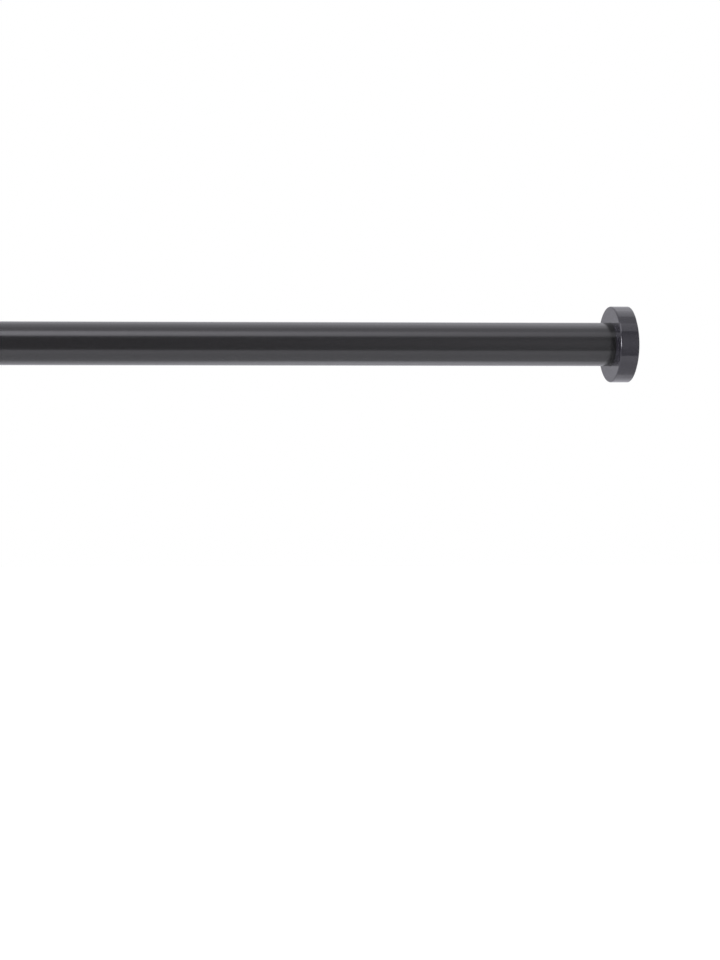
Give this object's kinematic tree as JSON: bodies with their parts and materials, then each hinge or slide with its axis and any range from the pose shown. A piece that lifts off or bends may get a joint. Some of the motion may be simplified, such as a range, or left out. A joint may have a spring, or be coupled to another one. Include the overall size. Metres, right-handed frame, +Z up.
{
  "type": "spring tension rod",
  "caption": "Black telescopic curtain rod: sliding tubes with disc ends on rubber pads, a twist lock inside, and a spring that presses it between two facing walls.",
  "frame": {"origin": "centre of the wall face of the right-hand rubber pad, the one at the outer tube's end", "axes": "+X out of that face along the rod's axis, so the rod runs to -X; +Z up"},
  "size_m": [0.8249, 0.049, 0.049],
  "materials": {
    "tube_coating": "satin",
    "cap_moulding": "gloss",
    "pad_rubber": "matte",
    "collar_moulding": "satin",
    "white_acetal": "satin",
    "grey_nylon": "satin",
    "cone_brass": "satin",
    "plated_steel": "satin",
    "spring_wire": "satin"
  },
  "bodies": {
    "outer_assembly": {"outer_tube": "tube_coating", "outer_end_cap": "cap_moulding", "outer_wall_pad": "pad_rubber", "mouth_collar": "collar_moulding"},
    "lock_sleeve": {"expander_sleeve": "grey_nylon", "drag_ring": "pad_rubber"},
    "lock_cone": {"expander_cone": "cone_brass"},
    "plunger": {"lock_spindle": "plated_steel", "thrust_washer": "plated_steel", "stop_nut": "plated_steel", "spring_follower": "white_acetal", "follower_clip": "plated_steel"},
    "inner_assembly": {"inner_tube": "tube_coating", "inner_end_cap": "cap_moulding", "inner_wall_pad": "pad_rubber", "guide_plug": "white_acetal", "spring_anchor": "white_acetal", "tension_spring": "spring_wire"}
  },
  "joints": [
    {"name": "length_adjust", "type": "slide", "parent": "outer_assembly", "child": "lock_sleeve", "axis": [-1, 0, 0], "range_m": [-0.098, 0.34]},
    {"name": "twist_lock", "type": "hinge", "parent": "lock_sleeve", "child": "plunger", "pos_m": [-0.166, 0, 0], "axis": [1, 0, 0], "range_deg": [-700, 0]},
    {"name": "cone_draw", "type": "slide", "parent": "lock_sleeve", "child": "lock_cone", "axis": [1, 0, 0], "range_m": [0, 0.0025]},
    {"name": "spring_travel", "type": "slide", "parent": "plunger", "child": "inner_assembly", "axis": [1, 0, 0], "range_m": [0, 0.03], "stiffness_N_per_m": 2030, "springref_m": -0.012, "deforming": ["tension_spring"]}
  ],
  "couplings": [
    {"joint": "cone_draw", "follows": "twist_lock", "m_per_rad": -0.00019894}
  ]
}
